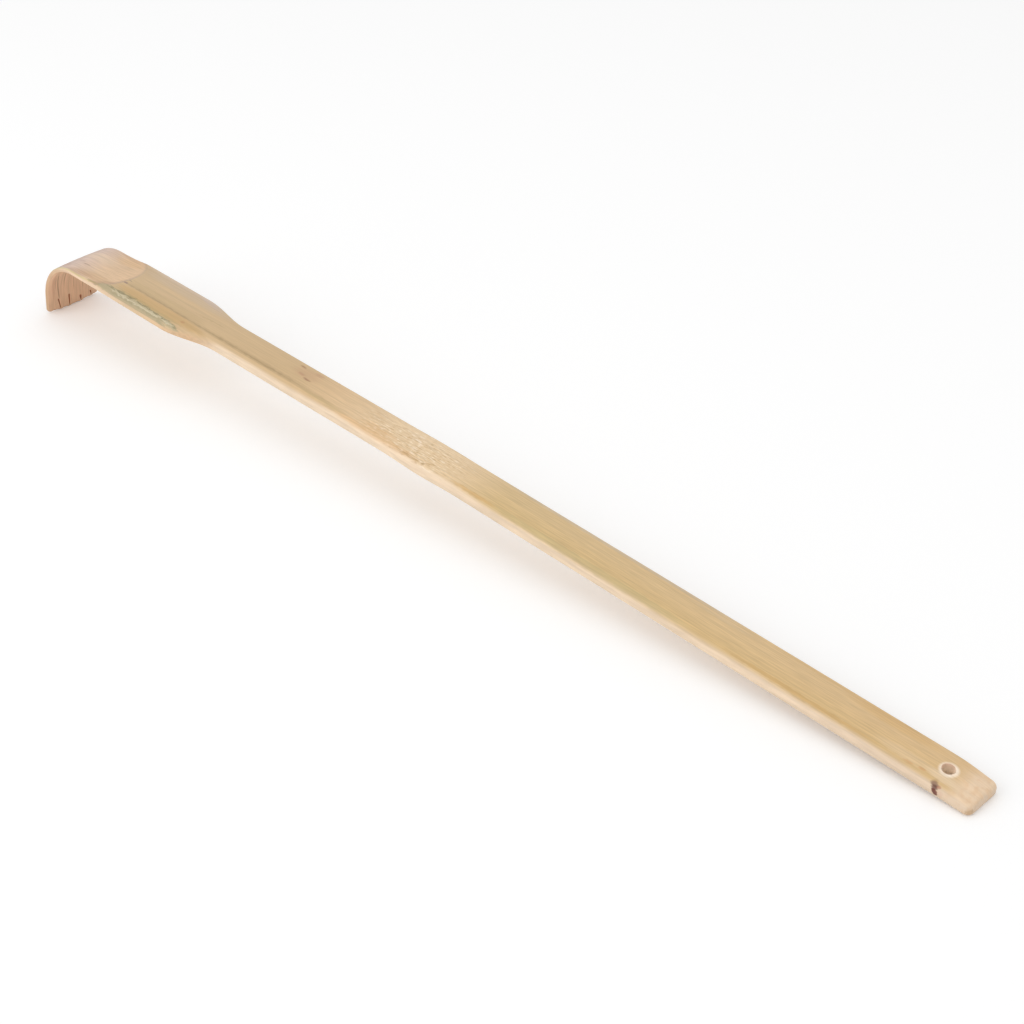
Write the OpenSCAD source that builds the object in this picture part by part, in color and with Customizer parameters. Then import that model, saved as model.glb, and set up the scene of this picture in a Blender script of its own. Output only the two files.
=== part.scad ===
// Bamboo back scratcher, made from one split strip of culm wall.
// The strip is drilled at its end, shouldered out to a blade, sanded thin, bent over with
// heat and sawn into teeth. It is drawn as the stretches that are worked one after another:
// they meet face to face, and all hang from one crest line along the skin side.
// Frame: Z up, the claw at -X and the hanging end at +X, lying on its tips and its end.

/* [Strip] */
// Thickness of the culm wall on the centreline
strip_t = 5.7; // [5:0.1:7]
// Radius of the culm's skin, which crowns the top
skin_r = 42; // [36:1:90]
// Rounding along the sanded edges
edge_r = 0.9; // [0.4:0.1:1.4]

/* [Hanging end] */
// Length of the stretch that holds the hole
end_l = 28; // [24:1:40]
// Radius of the end's corners, seen from above
end_corner_r = 2.4; // [2:0.1:5]
// Rounding over of the end, seen from the side
end_nose_r = 1.2; // [0.6:0.1:1.2]
// Length of the slope sanded on top of the end
end_slope_l = 17; // [6:0.5:18]
// How far the slope has dropped at the end
end_slope_h = 1.6; // [0.4:0.1:1.6]
// Diameter of the hanging hole
hole_d = 4.4; // [3:0.1:6]
// Distance from the end to the middle of the hole
hole_inset = 13.5; // [10:0.5:17]
// Width of the countersunk rim around the hole, on both faces
rim_w = 0.9; // [0.3:0.1:1.5]

/* [Grip] */
// Length of the straight grip
grip_l = 188; // [120:1:280]
// Width of the grip
grip_w = 15.8; // [12:0.1:20]

/* [Culm node] */
// Length of the swollen stretch
culm_node_l = 40; // [20:1:50]
// How far the node swells past the strip, on each side and below
culm_node_swell = 0.3; // [0:0.1:1]
// How far the strip turns down at the node, in degrees
culm_node_turn = 1.2; // [0.5:0.1:5]

/* [Shaft] */
// Length of the straight shaft
shaft_l = 92; // [60:1:160]
// Width of the shaft
shaft_w = 15.6; // [12:0.1:20]

/* [Neck] */
// Length of the shouldered neck
neck_l = 29; // [18:1:45]

/* [Blade] */
// Length of the blade, up to the bend
blade_l = 57.5; // [45:0.5:80]
// Width of the blade and the claw
blade_w = 25.6; // [22:0.2:32]
// Thickness of the blade at the bend, before the scoop is sanded
blade_t = 4.9; // [4.5:0.1:5.6]
// Length of the sanded scoop, from its tongue to the bend
scoop_l = 26.5; // [18:0.5:36]

/* [Claw] */
// Thickness of the lip after sanding
lip_t = 2.2; // [1.8:0.1:2.8]
// Radius of the lip's slight crown
lip_crown_r = 250; // [150:10:400]
// Rounding along the lip's edges
lip_edge_r = 0.5; // [0.2:0.1:0.8]
// Radius inside the bend
bend_r = 21; // [12:0.5:26]
// Angle of the bend, in degrees
bend_angle = 82; // [70:1:88]
// Length of the lip below the bend
claw_l = 10; // [8:0.5:16]
// How far the lip curls in below the bend, in degrees
claw_curl = 6; // [2:1:16]
// How much shorter the lip is at its sides than in the middle
claw_bow = 1; // [0:0.1:1.5]
// Number of teeth
teeth = 5; // [3:1:9]
// Width of the slit between two teeth
slit_w = 1; // [0.5:0.1:1.4]
// Length of the slits
slit_l = 4; // [2:0.5:7]

/* [Hidden] */
$fn = 96;

// Fineness: steps in a rounded edge, across a crown, and along a shaped stretch
edge_steps = 4;
crown_steps = 10;
loft_steps = 16;
tip_steps = 6;
slope_steps = 8;
// A rounded edge takes at most this share of the wall it stands on
edge_share = 0.45;
// What is left of the lip's thickness at the very end of its rounded tips
tip_flat = 0.12;
// How far a cutter runs past the face that it opens on
over = 1;

// Colours of the stretches
grip_colour = "#d3b88b";
node_colour = "#e8ceae";
shaft_colour = "#d6bb94";
blade_colour = "#ccb392";
lip_colour = "#dabea2";

degrees = 180 / PI;
handle_l = end_l + grip_l;
taper_l = neck_l + blade_l;
bend_out_r = bend_r + lip_t;

// The slope on the end is an arc that leaves the crest line level
slope_r = (end_slope_l * end_slope_l + end_slope_h * end_slope_h) / (2 * end_slope_h);

// The culm node turns the crest line on this radius, and the lip curls on this one
node_turn_r = culm_node_l * degrees / culm_node_turn;
claw_curl_r = claw_l * degrees / claw_curl;

// The scoop is ground by a drum that is lowest where the bend starts
scoop_depth = blade_t - lip_t;
drum_r = (scoop_l * scoop_l + scoop_depth * scoop_depth) / (2 * scoop_depth);

function unit(v) = v / norm(v);
function lerp(a, b, u) = a + (b - a) * u;
// A rise from 0 to 1 that starts and ends level
function ease(u) = (1 - cos(180 * u)) / 2;

// Points round a convex outline that runs anticlockwise.
// Each corner is [x, y, radius], and a radius of 0 leaves it sharp.
function rounded(corners) = [
    for (i = [0 : len(corners) - 1])
        let (
            n = len(corners),
            p = [corners[i].x, corners[i].y],
            before = corners[(i + n - 1) % n],
            after = corners[(i + 1) % n],
            u = unit([before.x, before.y] - p),
            v = unit([after.x, after.y] - p),
            half = acos(u * v) / 2,
            r = corners[i].z,
            c = p + unit(u + v) * r / sin(half),
            start = p + u * r / tan(half) - c,
            a = atan2(start.y, start.x),
            step = (180 - 2 * half) / edge_steps
        )
        if (r == 0) p
        else for (k = [0 : edge_steps]) c + r * [cos(a + k * step), sin(a + k * step)]
];

// Cross-section of the strip, as [across, up]: flat below, crowned above, with its crest at 0.
// The first half of its points, up to the crown's own, are the two lower edges.
function section(w, t, crown, edge) =
    let (
        h = w / 2,
        side = t - crown + sqrt(crown * crown - h * h),
        r = min(edge, edge_share * side),
        step = w / crown_steps
    )
    rounded(concat(
        [[-h, -t, r], [h, -t, r]],
        [for (i = [0 : crown_steps])
            let (y = h - i * step)
            [y, sqrt(crown * crown - y * y) - crown, i == 0 || i == crown_steps ? r : 0]]
    ));

function strip_section(w, t = strip_t) = section(w, t, skin_r, edge_r);
lip_section = section(blade_w, lip_t, lip_crown_r, lip_edge_r);

// A section stood across the strip at a point of the crest line, which has turned down by a
function ring(points, x, z, a = 0) =
    [for (p = points) [x - p.y * sin(a), p.x, z + p.y * cos(a)]];

// A section drawn in by d at the top and the bottom
function inset(points, d) = [for (p = points) [p.x, p.y - d]];

// A solid through rings of equal numbers of points, from the handle towards the claw
module loft(rings) {
    n = len(rings[0]);
    last = len(rings) - 1;
    sides = [
        for (i = [0 : last - 1], j = [0 : n - 1])
            let (a = i * n + j, b = i * n + (j + 1) % n)
            each [[a, a + n, b + n], [a, b + n, b]]
    ];
    ends = [[for (j = [0 : n - 1]) j], [for (j = [n - 1 : -1 : 0]) last * n + j]];
    polyhedron([for (r = rings) each r], concat(sides, ends));
}

// A straight stretch of length l towards -X
module run(points, l) {
    rotate([90, 0, -90]) linear_extrude(l) polygon(points);
}

// Where the crest line leaves the culm node, and the axis of the bend in the frame from there
node_end = [-handle_l - node_turn_r * sin(culm_node_turn), -node_turn_r * (1 - cos(culm_node_turn))];
bend_axis = [-shaft_l - taper_l, -scoop_depth - bend_out_r];
function turned(p, a) = [p.x * cos(a) - p.y * sin(a), p.x * sin(a) + p.y * cos(a)];
function from_node(p) = node_end + turned(p, culm_node_turn);
function from_bend(p) = from_node(bend_axis + turned([p.x, p.y + bend_out_r], bend_angle));
// A point d below the crest of the lip, where it has curled by a
function lip_point(a, d) = from_bend(claw_curl_r * [-sin(a), cos(a) - 1] + d * [sin(a), -cos(a)]);

// The strip lies on the round of its tips and the round of its end, so it tilts by this much
tip_r = lip_t / 2;
tip_a = claw_curl * (1 - tip_r / claw_l);
tip_c = lip_point(tip_a, tip_r);
nose_c = [-end_nose_r, end_nose_r - strip_t];
reach = tip_c - nose_c;
tilt = asin((tip_r - end_nose_r) / norm(reach)) - atan2(reach.y, -reach.x);
floor_z = turned(nose_c, -tilt).y - end_nose_r;
end_x = turned([-end_nose_r, -end_nose_r], -tilt).x + end_nose_r;
claw_x = min(
    turned(tip_c, -tilt).x - tip_r,
    min([for (i = [0 : tip_steps]) turned(lip_point(tip_a * i / tip_steps, 0), -tilt).x])
);

// Lays the strip down, with the middle of its box over the origin
module rest() {
    translate([-(end_x + claw_x) / 2, 0, -floor_z]) rotate([0, tilt, 0]) children();
}

// Puts what is drawn from the end of the culm node in its place
module after_node() {
    translate([node_end.x, 0, node_end.y]) rotate([0, -culm_node_turn, 0]) children();
}

// Puts what is drawn from the end of the bend in its place
module after_bend() {
    after_node() translate([bend_axis.x, 0, bend_axis.y]) rotate([0, -bend_angle, 0])
        translate([0, 0, bend_out_r]) children();
}

// The hanging hole: a straight bore, countersunk on both faces
module hole() {
    translate([-hole_inset, 0, 0]) {
        translate([0, 0, -strip_t - over]) cylinder(h = strip_t + 2 * over, d = hole_d);
        for (face = [0, -strip_t])
            translate([0, 0, face]) mirror([0, 0, face < 0 ? 1 : 0]) translate([0, 0, -rim_w])
                cylinder(h = rim_w + over, d1 = hole_d, d2 = hole_d + 2 * (rim_w + over));
    }
}

// The end of the strip, rounded at its corners and over its end
module hanging_end() {
    function nose(x) = x < end_nose_r ? end_nose_r - sqrt(x * (2 * end_nose_r - x)) : 0;
    function slope(x) = slope_r - sqrt(pow(slope_r, 2) - pow(max(end_slope_l - x, 0), 2));
    function end_ring(x, w) =
        ring(inset(strip_section(w, strip_t - 2 * nose(x) - slope(x)), nose(x) + slope(x)), -x, 0);
    corners = [
        for (k = [0 : loft_steps])
            let (q = 90 - 90 * k / loft_steps)
            end_ring(end_corner_r * (1 - sin(q)), grip_w - 2 * end_corner_r * (1 - cos(q)))
    ];
    slopes = [
        for (k = [1 : slope_steps]) end_ring(lerp(end_corner_r, end_slope_l, k / slope_steps), grip_w)
    ];
    color(grip_colour) rest() difference() {
        loft(concat(corners, slopes, [end_ring(end_l, grip_w)]));
        hole();
    }
}

// The straight grip
module grip() {
    color(grip_colour) rest() translate([-end_l, 0, 0]) run(strip_section(grip_w), grip_l);
}

// The culm's joint, where the strip swells, narrows to the shaft and turns down a little
module culm_node() {
    rings = [
        for (k = [0 : loft_steps])
            let (
                u = k / loft_steps,
                a = culm_node_turn * u,
                swell = culm_node_swell * pow(sin(180 * u), 2),
                w = lerp(grip_w, shaft_w, ease(u)) + 2 * swell
            )
            ring(
                strip_section(w, strip_t + swell),
                -handle_l - node_turn_r * sin(a), -node_turn_r * (1 - cos(a)), a
            )
    ];
    color(node_colour) rest() loft(rings);
}

// The straight shaft
module shaft() {
    color(shaft_colour) rest() after_node() run(strip_section(shaft_w), shaft_l);
}

// Thickness at a distance along the neck and blade, planed thinner from below
function taper_t(d) = lerp(strip_t, blade_t, d / taper_l);

// The neck, whose two shoulders sweep out to the blade
module neck() {
    rings = [
        for (k = [0 : loft_steps])
            let (
                u = k / loft_steps,
                d = u * neck_l,
                w = lerp(shaft_w, blade_w, ease(u))
            )
            ring(strip_section(w, taper_t(d)), -shaft_l - d, 0)
    ];
    color(shaft_colour) rest() after_node() loft(rings);
}

// The drum that grinds the scoop. Its groove has the lip's own outline, so the blade runs
// into the bend without a step.
module scoop_drum() {
    first = 2 * (edge_steps + 1);
    last = len(lip_section) - 1;
    groove = [for (i = [first : last]) [drum_r - lip_section[i].y, lip_section[i].x]];
    lip_edge = groove[0].x;
    out = blade_w / 2 + over;
    inner = drum_r - strip_t;
    translate([bend_axis.x, 0, drum_r - scoop_depth]) rotate([90, 0, 0]) rotate_extrude($fn = 240)
        polygon(concat(groove, [[lip_edge, -out], [inner, -out], [inner, out], [lip_edge, out]]));
}

// The blade: crowned by the skin, and scooped thin towards the bend
module blade() {
    rings = [
        ring(section(blade_w, taper_t(neck_l), skin_r, edge_r), -shaft_l - neck_l, 0),
        ring(section(blade_w, blade_t, skin_r, lip_edge_r), bend_axis.x, 0)
    ];
    color(blade_colour) rest() after_node() difference() {
        loft(rings);
        scoop_drum();
    }
}

// The bend, turned over with heat
module bend() {
    color(lip_colour) rest() after_node() translate([bend_axis.x, 0, bend_axis.y])
        rotate([90, 0, 0]) rotate([0, 0, 90]) rotate_extrude(angle = bend_angle)
            polygon([for (p = lip_section) [bend_out_r + p.y, p.x]]);
}

// The slits that part the teeth
module slits() {
    pitch = blade_w / teeth;
    depth = lip_t + claw_l;
    for (i = [1 : teeth - 1])
        translate([-claw_l - over, i * pitch - (blade_w + slit_w) / 2, -depth])
            cube([slit_l + over, slit_w, depth + over]);
}

// The lip below the bend, curling in a little, with its tips rounded and parted into teeth
module claw() {
    function thinned(f) = [
        for (p = lip_section) [p.x - (1 - f) * tip_r * sign(p.x), (p.y + tip_r) * f - tip_r]
    ];
    // A section whose sides lag behind its middle by a share of the bow
    function lip_ring(points, a, ahead = 0) = [
        for (p = points)
            let (d = ahead - claw_bow * a / tip_a * pow(2 * p.x / blade_w, 2))
            [
                -claw_curl_r * sin(a) - d * cos(a) - p.y * sin(a),
                p.x,
                -claw_curl_r * (1 - cos(a)) - d * sin(a) + p.y * cos(a)
            ]
    ];
    body = [for (k = [0 : tip_steps]) lip_ring(lip_section, tip_a * k / tip_steps)];
    tips = [
        for (k = [1 : tip_steps])
            let (q = 90 * k / tip_steps)
            lip_ring(thinned(max(cos(q), tip_flat)), tip_a, tip_r * sin(q))
    ];
    color(lip_colour) rest() after_bend() difference() {
        loft(concat(body, tips));
        slits();
    }
}

hanging_end();
grip();
culm_node();
shaft();
neck();
blade();
bend();
claw();
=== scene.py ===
import math
import bpy
from mathutils import Matrix, Vector, geometry, kdtree, noise


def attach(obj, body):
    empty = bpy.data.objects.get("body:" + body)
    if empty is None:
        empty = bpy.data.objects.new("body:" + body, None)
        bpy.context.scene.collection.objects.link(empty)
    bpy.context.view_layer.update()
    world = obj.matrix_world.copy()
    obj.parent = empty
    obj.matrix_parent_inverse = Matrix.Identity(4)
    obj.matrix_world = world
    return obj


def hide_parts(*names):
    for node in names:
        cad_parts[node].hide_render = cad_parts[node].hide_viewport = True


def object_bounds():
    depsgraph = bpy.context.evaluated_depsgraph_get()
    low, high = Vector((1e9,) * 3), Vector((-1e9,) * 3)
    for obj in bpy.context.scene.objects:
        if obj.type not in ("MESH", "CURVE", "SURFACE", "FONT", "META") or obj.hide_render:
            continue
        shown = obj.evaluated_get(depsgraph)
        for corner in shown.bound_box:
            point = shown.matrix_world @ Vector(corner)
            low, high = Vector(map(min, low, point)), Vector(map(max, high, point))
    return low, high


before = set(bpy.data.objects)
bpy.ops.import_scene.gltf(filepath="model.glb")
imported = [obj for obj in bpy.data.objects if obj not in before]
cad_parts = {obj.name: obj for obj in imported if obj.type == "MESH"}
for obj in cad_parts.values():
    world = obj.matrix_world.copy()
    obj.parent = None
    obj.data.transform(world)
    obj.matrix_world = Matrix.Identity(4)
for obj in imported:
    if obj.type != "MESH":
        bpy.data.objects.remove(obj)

cadBox = [list(corner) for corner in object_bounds()]
print("frame loaded, CAD box", cadBox)


# adds one node, sets its settings, fills its inputs with links or values and hands back one output
def addNode(tree, kind, inputs=None, out=0, **settings):
    node = tree.nodes.new(kind)
    for name, value in settings.items():
        setattr(node, name, value)
    for name, value in (inputs or {}).items():
        if isinstance(value, bpy.types.NodeSocket):
            tree.links.new(value, node.inputs[name])
        else:
            node.inputs[name].default_value = value
    return node.outputs[out] if len(node.outputs) else node


# sRGB hex to the linear colour a socket takes
def hexColour(text):
    parts = [int(text[i:i + 2], 16) / 255 for i in (1, 3, 5)]
    return [p / 12.92 if p <= 0.04045 else ((p + 0.055) / 1.055) ** 2.4 for p in parts] + [1.0]


# The strip as a flat blank before it is bent, in mm.
# Along runs from the hanging end to the tips, across from the middle line, up from the crest of the skin.
strip = {
    "gripWidth": 15.8,
    "shaftWidth": 15.6,
    "bladeWidth": 25.6,
    "wall": 5.7,  # culm wall at the grip
    "bladeWall": 4.9,  # planed thinner at the bend
    "lip": 2.2,  # what the scoop leaves
    "skinRadius": 42.0,  # crown of the culm
    "lipRadius": 250.0,  # flatter crown of the sanded lip
    "nodeFrom": 216.0,
    "nodeTo": 256.0,
    "nodeSwell": 0.3,
    "nodeTurn": 1.2,
    "neckFrom": 348.0,
    "neckTo": 377.0,
    "bendFrom": 434.5,
    "bendRadius": 21.0,  # inside the lip
    "bendAngle": 82.0,
    "scoopLength": 26.5,
    "clawLength": 10.0,
    "clawCurl": 6.0,
    "clawBow": 1.0,  # the teeth at the sides are this much shorter
    "endCorner": 2.4,
    "endRound": 1.3,
    "endSlope": 17.0,  # length sanded down on top of the end
    "endDrop": 1.6,
    # softness of the long edges, by the distance along, worn rounder on the near side
    "nearRounds": [(3, 1.3), (14, 2.0), (110, 2.1), (190, 1.5), (340, 1.8), (360, 2.4), (384, 1.2),
                   (412, 1.0), (436, 0.55)],
    "farRounds": [(3, 1.3), (14, 0.9), (405, 0.9), (440, 1.3), (456, 1.3), (466, 0.6)],
    "underRound": 0.9,  # an edge falls away no further than this underneath
    "mostRound": 0.47,  # and nowhere further than this share of the thickness
    "lipRound": 0.55,
    "tipRound": 1.05,
    "toothRound": 0.09,
    "tipGrowth": 0.85,  # how fast a tooth's round grows from its corners to the middle of its tip
    "tipSanding": 0.12,  # the teeth are a touch thinner at their tips
    "tipSandingLength": 3.0,
    "tipShort": 0.12,  # the tips stop a hair short of the full length
    "tipCorner": 1.3,
    "toothCorner": 0.15,
    # saw cuts between the teeth: across at the mouth and the root, depth, width at the mouth and the root
    "slits": [(9.2, 9.0, 3.6, 0.35, 0.7), (3.9, 3.75, 3.4, 0.45, 1.0), (-2.0, -1.9, 6.2, 0.35, 0.8),
              (-6.5, -7.4, 6.0, 0.3, 0.6)],
    "holeAt": (13.5, 0.0),
    "holeRadius": 2.2,
    "rim": 0.9,
    "handCut": 0.1,  # most that a planed edge wanders inwards
    "handWaves": [(24.0, 0.5, 0.3), (7.0, 0.25, 4.7)],  # how it wanders: length, share, place in the noise
    "restTilt": 3.97103,
    "restPlace": (229.54261, 0.0, 5.60609),
    # steps of the mesh along the strip and across its faces, finer in the scoop, bend and claw
    "coarseStep": 1.5,
    "coarseNet": 1.05,
    "fineStep": 0.7,
    "fineNet": 0.62,
    "fineFrom": 402.0,
    "lastStep": 0.4,  # shortest last step along, as a share
    "cornerGap": 1.0,  # from the end's round corners to the first step
    "netFrom": 1.8,  # the net of the faces starts here
    "netShort": 0.9,  # stops this far short of the full length
    "netGap": 0.3,  # stays this far inside the edges
    "netClear": 0.55,  # and this share of a step from the points on them
    "tipStep": 0.4,
    "straightSteps": 9,  # across the end and down the saw cuts
    "arcSteps": {"end": 9.0, "tip": 15.0, "cut": 22.5, "hole": 7.5},  # degrees
}
lipDrop = strip["bladeWall"] - strip["lip"]
bendLength = (strip["bendRadius"] + strip["lip"]) * math.radians(strip["bendAngle"])
tipAt = strip["bendFrom"] + bendLength + strip["clawLength"]
drumRadius = (strip["scoopLength"] ** 2 + lipDrop ** 2) / (2 * lipDrop)
slopeRadius = (strip["endSlope"] ** 2 + strip["endDrop"] ** 2) / (2 * strip["endDrop"])


def ease(u):
    u = min(max(u, 0.0), 1.0)
    return (1 - math.cos(math.pi * u)) / 2


# how far a crown of this radius falls at y
def crownFall(y, radius):
    return radius - math.sqrt(radius * radius - y * y)


def nodeSwell(s):
    u = (s - strip["nodeFrom"]) / (strip["nodeTo"] - strip["nodeFrom"])
    return strip["nodeSwell"] * math.sin(math.pi * u) ** 2 if 0 < u < 1 else 0.0


def halfWidth(s):
    node = ease((s - strip["nodeFrom"]) / (strip["nodeTo"] - strip["nodeFrom"]))
    neck = ease((s - strip["neckFrom"]) / (strip["neckTo"] - strip["neckFrom"]))
    width = strip["gripWidth"] + (strip["shaftWidth"] - strip["gripWidth"]) * node
    width += (strip["bladeWidth"] - strip["shaftWidth"]) * neck
    return width / 2 + nodeSwell(s)


# a planed edge wanders and only ever loses wood; each side has its own row of noise
def planedHalf(s, row):
    wander = 0.5
    for length, share, place in strip["handWaves"]:
        wander += share * noise.noise(Vector((s / length, row, place)))
    return halfWidth(s) - strip["handCut"] * min(max(wander, 0.0), 1.0)


# the skin side: the crown of the culm, sanded down at the end and by the drum that makes the scoop
def topAt(s, y):
    skin = -crownFall(y, strip["skinRadius"]) - crownFall(max(strip["endSlope"] - s, 0.0), slopeRadius)
    back = min(max(strip["bendFrom"] - s, 0.0), 2 * strip["scoopLength"])
    scoop = -lipDrop + crownFall(back, drumRadius) - crownFall(y, strip["lipRadius"])
    sandingLength = strip["tipSandingLength"]
    return min(skin, scoop) - strip["tipSanding"] * ease((s - tipAt + sandingLength) / sandingLength)


def bottomAt(s):
    planed = (s - strip["neckFrom"]) / (strip["bendFrom"] - strip["neckFrom"])
    planed = min(max(planed, 0.0), 1.0)
    return -strip["wall"] - nodeSwell(s) + (strip["wall"] - strip["bladeWall"]) * planed


# stations along the strip, closer where it is scooped and bent
def stationsAlong(start, stop):
    found = []
    s = start
    while s < stop - strip["lastStep"] * strip["fineStep"]:
        found.append(s)
        s += strip["fineStep"] if s > strip["fineFrom"] else strip["coarseStep"]
    return found


def arcPoints(s, y, radius, start, stop, kind):
    steps = round(abs(stop - start) / strip["arcSteps"][kind])
    angles = [math.radians(start + (stop - start) * k / steps) for k in range(steps + 1)]
    return [(s + radius * math.cos(a), y + radius * math.sin(a)) for a in angles]


# round of a long edge at s, eased between the places in its list
def sideRound(s, rounds):
    edge = rounds[0][1]
    for (startAt, startRound), (stopAt, stopRound) in zip(rounds, rounds[1:]):
        if s > startAt:
            edge = startRound + (stopRound - startRound) * ease((s - startAt) / (stopAt - startAt))
    return edge


# the tips stand on a shallow bow
def tipLine(y):
    return tipAt - strip["tipShort"] - strip["clawBow"] * (2 * y / strip["bladeWidth"]) ** 2


# one tooth's tip, from its far corner to its near one
def toothTip(upper, lower):
    count = max(2, round((upper - lower) / strip["tipStep"]))
    points = []
    for k in range(1, count):
        y = upper + (lower - upper) * k / count
        grown = strip["toothRound"] + strip["tipGrowth"] * min(upper - y, y - lower)
        points.append((tipLine(y), y, min(strip["tipRound"], grown)))
    return points


# plan of the strip as (along, across, edge round), with the wood always on the same hand
def planOutline():
    corner = strip["endCorner"]
    tip = strip["tipCorner"]
    notch = strip["toothCorner"]
    steps = strip["straightSteps"]
    flatEnd = halfWidth(0) - corner
    flatTip = halfWidth(tipAt) - tip
    cornerAt = tipLine(flatTip) - tip
    side = stationsAlong(corner + strip["cornerGap"], cornerAt)
    points = [(s, -planedHalf(s, 1.0), sideRound(s, strip["nearRounds"])) for s in reversed(side)]
    # hanging end
    end = arcPoints(corner, -flatEnd, corner, 270, 180, "end")
    end += [(0.0, -flatEnd + 2 * flatEnd * k / steps) for k in range(1, steps)]
    end += arcPoints(corner, flatEnd, corner, 180, 90, "end")
    points += [(s, y, strip["endRound"]) for s, y in end]
    # far side and its tip corner
    points += [(s, planedHalf(s, 2.0), sideRound(s, strip["farRounds"])) for s in side]
    points += [(s, y, strip["lipRound"]) for s, y in arcPoints(cornerAt, flatTip, tip, 90, 0, "tip")]
    # teeth and saw cuts, then the near tip corner
    upper = flatTip
    for mouth, root, depth, mouthWidth, rootWidth in strip["slits"]:
        lower = mouth + mouthWidth / 2 + notch
        points += toothTip(upper, lower)
        mouthAt = tipLine(mouth) - notch
        rootAt = tipAt - depth + rootWidth / 2
        line = []
        for u in [k / steps for k in range(1, steps)]:
            halfCut = (mouthWidth + (rootWidth - mouthWidth) * u) / 2
            line.append((mouthAt + (rootAt - mouthAt) * u, mouth + (root - mouth) * u, halfCut))
        cut = arcPoints(mouthAt, lower, notch, 0, -90, "cut")
        cut += [(s, y + halfCut) for s, y, halfCut in line]
        cut += arcPoints(rootAt, root, rootWidth / 2, 90, 270, "cut")
        cut += [(s, y - halfCut) for s, y, halfCut in reversed(line)]
        upper = mouth - mouthWidth / 2 - notch
        cut += arcPoints(mouthAt, upper, notch, 90, 0, "cut")
        points += [(s, y, strip["toothRound"]) for s, y in cut]
    points += toothTip(upper, -flatTip)
    points += [(s, y, strip["lipRound"]) for s, y in arcPoints(cornerAt, -flatTip, tip, 0, -90, "tip")]
    return points


# the hole runs the other way round, so the wood is on the same hand
def holeOutline():
    s, y = strip["holeAt"]
    return [(a, b, strip["rim"]) for a, b in arcPoints(s, y, strip["holeRadius"], 0, 360, "hole")[:-1]]


# unit steps into the wood at each point of a closed plan
def stepsInward(points):
    found = []
    for i in range(len(points)):
        before = points[i - 1]
        after = points[(i + 1) % len(points)]
        run = Vector((after[0] - before[0], after[1] - before[1])).normalized()
        found.append((run.y, -run.x))
    return found


def insidePlan(s, y, loop):
    odd = False
    for i in range(len(loop)):
        a = loop[i - 1]
        b = loop[i]
        if (a[1] > y) != (b[1] > y) and s < a[0] + (y - a[1]) * (b[0] - a[0]) / (b[1] - a[1]):
            odd = not odd
    return odd


# points over the faces that keep clear of the edges, the hole and the saw cuts
def netPoints(loops, outer):
    edgeTree = kdtree.KDTree(len(loops))
    for i, (s, y) in enumerate(loops):
        edgeTree.insert((s, y, 0), i)
    edgeTree.balance()
    holeS, holeY = strip["holeAt"]
    gap = strip["netGap"]
    holeClear = strip["holeRadius"] + strip["rim"] + gap
    cutDepth = max(depth for _, _, depth, _, _ in strip["slits"]) + strip["fineStep"]
    found = []
    for s in stationsAlong(strip["netFrom"], tipAt - strip["netShort"]):
        step = strip["fineNet"] if s > strip["fineFrom"] else strip["coarseNet"]
        near = sideRound(s, strip["nearRounds"]) + gap - halfWidth(s)
        far = halfWidth(s) - sideRound(s, strip["farRounds"]) - gap
        count = round((far - near) / step)
        # a point can fall outside only by the end's corners and among the teeth
        atEnds = s < 2 * strip["endCorner"] or s > tipAt - cutDepth
        for y in [near + (far - near) * k / count for k in range(count + 1)]:
            clear = edgeTree.find((s, y, 0))[2] > strip["netClear"] * step
            inHole = math.hypot(s - holeS, y - holeY) < holeClear
            if clear and not inHole and (not atEnds or insidePlan(s, y, outer)):
                found.append((s, y))
    return found


# how an edge falls away, as (inset, drop) in shares of its round; the hole's rim is nearly flat
edgeAngles = [math.radians(a) for a in (0, 15, 32, 50, 70, 90)]
sandedEdge = [(1 - math.cos(a), 1 - math.sin(a)) for a in edgeAngles]
softCountersink = [(0.0, 0.25), (0.05, 0.16), (0.2, 0.08), (0.5, 0.03), (0.85, 0.01), (1.2, 0.0)]


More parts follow.
